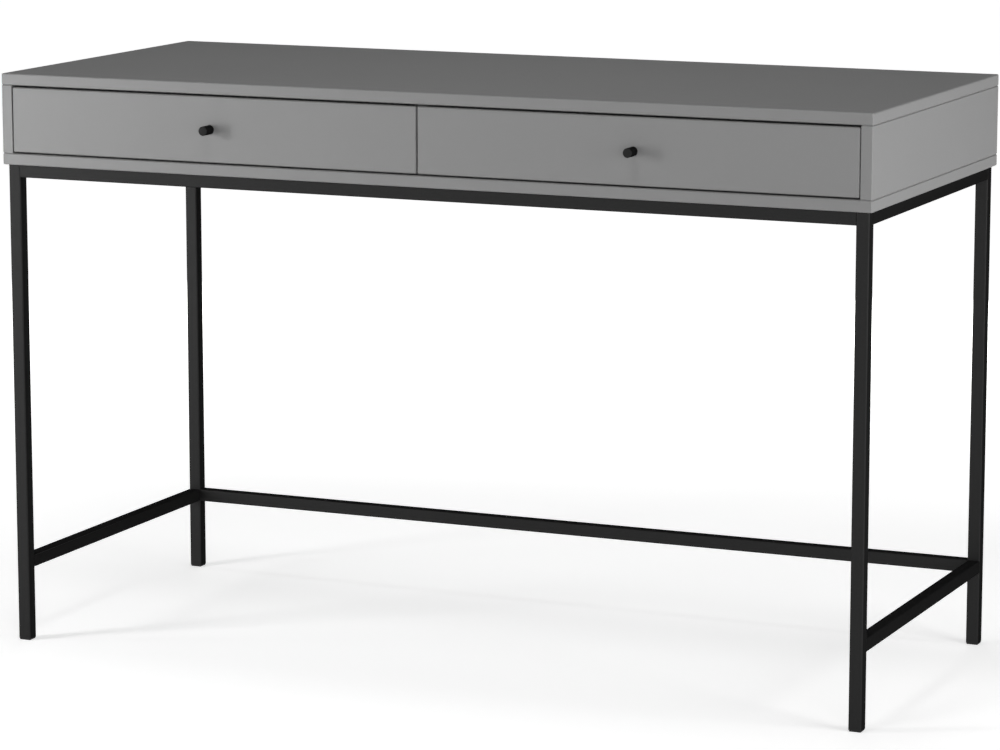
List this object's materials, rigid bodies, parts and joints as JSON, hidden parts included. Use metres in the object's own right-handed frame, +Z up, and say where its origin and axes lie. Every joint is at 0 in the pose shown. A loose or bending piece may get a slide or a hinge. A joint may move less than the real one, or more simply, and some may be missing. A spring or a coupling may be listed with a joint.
{
  "type": "writing desk",
  "caption": "Writing desk: flat matt grey body with side-by-side drawers on roller runners, small black knobs, and a slim black square-tube steel frame.",
  "frame": {"origin": "on the floor, under the middle of the whole desk with its knobs", "axes": "+X to the right of a person sitting at the desk, +Y from the drawer fronts to the back, +Z up"},
  "size_m": [1.2, 0.536, 0.763],
  "materials": {
    "grey_lacquered_board": "matt grey lacquer on fibreboard",
    "grey_hardboard": "thin hardboard, printed plain grey",
    "light_grey_melamine": "light grey melamine on board",
    "beech": "bare plywood tongue",
    "black_powder_coated_steel": "fine matt black powder coat",
    "black_lacquered_metal": "satin black lacquer",
    "black_plastic": "moulded",
    "zinc_plated_steel": "bright zinc",
    "white_coated_steel": "epoxy coated sheet",
    "white_nylon": "moulded nylon"
  },
  "bodies": {
    "desk": {"top_panel": "grey_lacquered_board", "bottom_panel": "grey_lacquered_board", "left_side_panel": "grey_lacquered_board", "right_side_panel": "grey_lacquered_board", "centre_divider": "grey_lacquered_board", "back_panel": "grey_hardboard", "loose_tongues": "beech", "frame_screws": "zinc_plated_steel", "rail_spigots": "black_powder_coated_steel", "front_left_leg": "black_powder_coated_steel", "front_left_foot_plug": "black_plastic", "front_right_leg": "black_powder_coated_steel", "front_right_foot_plug": "black_plastic", "rear_left_leg": "black_powder_coated_steel", "rear_left_foot_plug": "black_plastic", "rear_right_leg": "black_powder_coated_steel", "rear_right_foot_plug": "black_plastic", "front_top_rail": "black_powder_coated_steel", "rear_top_rail": "black_powder_coated_steel", "left_top_rail": "black_powder_coated_steel", "right_top_rail": "black_powder_coated_steel", "rear_stretcher": "black_powder_coated_steel", "left_stretcher": "black_powder_coated_steel", "right_stretcher": "black_powder_coated_steel", "bay_roller_studs": "zinc_plated_steel", "left_bay_left_runner": "white_coated_steel", "left_bay_right_runner": "white_coated_steel", "right_bay_left_runner": "white_coated_steel", "right_bay_right_runner": "white_coated_steel"},
    "left_drawer": {"left_drawer_front": "grey_lacquered_board", "left_drawer_left_side": "light_grey_melamine", "left_drawer_right_side": "light_grey_melamine", "left_drawer_back": "light_grey_melamine", "left_drawer_bottom": "grey_hardboard", "left_drawer_knob": "black_lacquered_metal", "left_drawer_left_runner": "white_coated_steel", "left_drawer_right_runner": "white_coated_steel", "left_drawer_roller_studs": "zinc_plated_steel"},
    "right_drawer": {"right_drawer_front": "grey_lacquered_board", "right_drawer_left_side": "light_grey_melamine", "right_drawer_right_side": "light_grey_melamine", "right_drawer_back": "light_grey_melamine", "right_drawer_bottom": "grey_hardboard", "right_drawer_knob": "black_lacquered_metal", "right_drawer_left_runner": "white_coated_steel", "right_drawer_right_runner": "white_coated_steel", "right_drawer_roller_studs": "zinc_plated_steel"},
    "left_bay_left_roller": {"left_bay_left_roller": "white_nylon"},
    "left_drawer_left_roller": {"left_drawer_left_roller": "white_nylon"},
    "left_bay_right_roller": {"left_bay_right_roller": "white_nylon"},
    "left_drawer_right_roller": {"left_drawer_right_roller": "white_nylon"},
    "right_bay_left_roller": {"right_bay_left_roller": "white_nylon"},
    "right_drawer_left_roller": {"right_drawer_left_roller": "white_nylon"},
    "right_bay_right_roller": {"right_bay_right_roller": "white_nylon"},
    "right_drawer_right_roller": {"right_drawer_right_roller": "white_nylon"}
  },
  "joints": [
    {"name": "left_drawer_slide", "type": "slide", "parent": "desk", "child": "left_drawer", "axis": [0, -1, 0], "range_m": [0, 0.33]},
    {"name": "right_drawer_slide", "type": "slide", "parent": "desk", "child": "right_drawer", "axis": [0, -1, 0], "range_m": [0, 0.33]},
    {"name": "left_bay_left_roller_spin", "type": "hinge", "parent": "desk", "child": "left_bay_left_roller", "pos_m": [-0.5801, -0.215, 0.674], "axis": [1, 0, 0], "range_deg": [0, 2364]},
    {"name": "left_drawer_left_roller_spin", "type": "hinge", "parent": "left_drawer", "child": "left_drawer_left_roller", "pos_m": [-0.5774, 0.205, 0.6732], "axis": [1, 0, 0], "range_deg": [0, 2364]},
    {"name": "left_bay_right_roller_spin", "type": "hinge", "parent": "desk", "child": "left_bay_right_roller", "pos_m": [-0.0124, -0.215, 0.674], "axis": [1, 0, 0], "range_deg": [0, 2364]},
    {"name": "left_drawer_right_roller_spin", "type": "hinge", "parent": "left_drawer", "child": "left_drawer_right_roller", "pos_m": [-0.0151, 0.205, 0.6732], "axis": [1, 0, 0], "range_deg": [0, 2364]},
    {"name": "right_bay_left_roller_spin", "type": "hinge", "parent": "desk", "child": "right_bay_left_roller", "pos_m": [0.0124, -0.215, 0.674], "axis": [1, 0, 0], "range_deg": [0, 2364]},
    {"name": "right_drawer_left_roller_spin", "type": "hinge", "parent": "right_drawer", "child": "right_drawer_left_roller", "pos_m": [0.0151, 0.205, 0.6732], "axis": [1, 0, 0], "range_deg": [0, 2364]},
    {"name": "right_bay_right_roller_spin", "type": "hinge", "parent": "desk", "child": "right_bay_right_roller", "pos_m": [0.5801, -0.215, 0.674], "axis": [1, 0, 0], "range_deg": [0, 2364]},
    {"name": "right_drawer_right_roller_spin", "type": "hinge", "parent": "right_drawer", "child": "right_drawer_right_roller", "pos_m": [0.5774, 0.205, 0.6732], "axis": [1, 0, 0], "range_deg": [0, 2364]}
  ],
  "couplings": [
    {"joint": "left_bay_left_roller_spin", "follows": "left_drawer_slide", "rad_per_m": 125},
    {"joint": "left_drawer_left_roller_spin", "follows": "left_drawer_slide", "rad_per_m": 125},
    {"joint": "left_bay_right_roller_spin", "follows": "left_drawer_slide", "rad_per_m": 125},
    {"joint": "left_drawer_right_roller_spin", "follows": "left_drawer_slide", "rad_per_m": 125},
    {"joint": "right_bay_left_roller_spin", "follows": "right_drawer_slide", "rad_per_m": 125},
    {"joint": "right_drawer_left_roller_spin", "follows": "right_drawer_slide", "rad_per_m": 125},
    {"joint": "right_bay_right_roller_spin", "follows": "right_drawer_slide", "rad_per_m": 125},
    {"joint": "right_drawer_right_roller_spin", "follows": "right_drawer_slide", "rad_per_m": 125}
  ]
}
